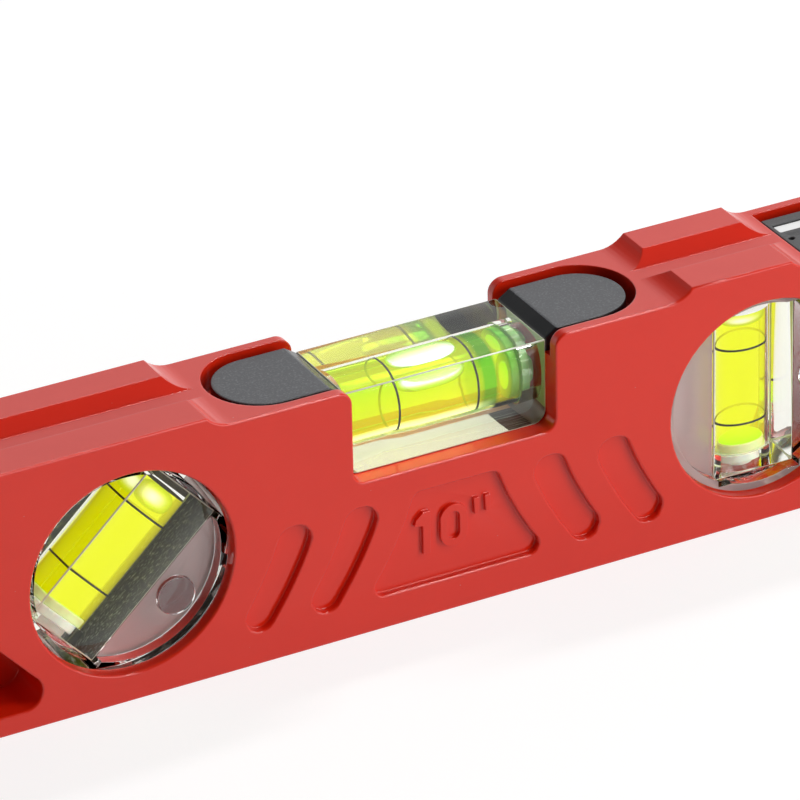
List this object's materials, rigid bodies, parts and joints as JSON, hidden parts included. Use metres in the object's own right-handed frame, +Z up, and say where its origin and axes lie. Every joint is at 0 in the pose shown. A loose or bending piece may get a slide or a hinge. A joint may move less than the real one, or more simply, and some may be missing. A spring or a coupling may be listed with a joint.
{
  "type": "spirit level",
  "caption": "Short painted box-body spirit level with a plumb vial, a slanted vial and a top-reading level vial in clear blocks, end caps beside the top window.",
  "frame": {"origin": "middle of the flat base, under the centre of the body", "axes": "+X along the length towards the plumb vial, +Y from the front face to the back face, +Z up from the base"},
  "size_m": [0.254, 0.0234, 0.048],
  "materials": {
    "red_paint": "glossy red paint on a cast body",
    "grey_cap": "fine-grained moulded plastic",
    "black_insert": "moulded plastic",
    "bright_strip": "bright strip",
    "clear_block": "polished clear acrylic",
    "clear_holder": "moulded clear plastic",
    "spirit": "yellow-green spirit",
    "green_plug": "green tinted plug",
    "white_plug": "milky white plug",
    "ring_line": "black printed line"
  },
  "bodies": {
    "root": {"body": "red_paint", "left_cap": "grey_cap", "right_cap": "grey_cap", "top_insert": "black_insert", "insert_strip": "bright_strip", "middle_block": "clear_block", "middle_spirit": "spirit", "middle_plug": "green_plug", "middle_ring_left": "ring_line", "middle_ring_right": "ring_line", "slanted_holder": "clear_holder", "slanted_block": "clear_block", "slanted_spirit": "spirit", "slanted_plug": "white_plug", "slanted_ring_low": "ring_line", "slanted_ring_high": "ring_line", "plumb_holder": "clear_holder", "plumb_block": "clear_block", "plumb_spirit": "spirit", "plumb_plug": "white_plug", "plumb_ring_low": "ring_line", "plumb_ring_high": "ring_line"}
  },
  "joints": []
}
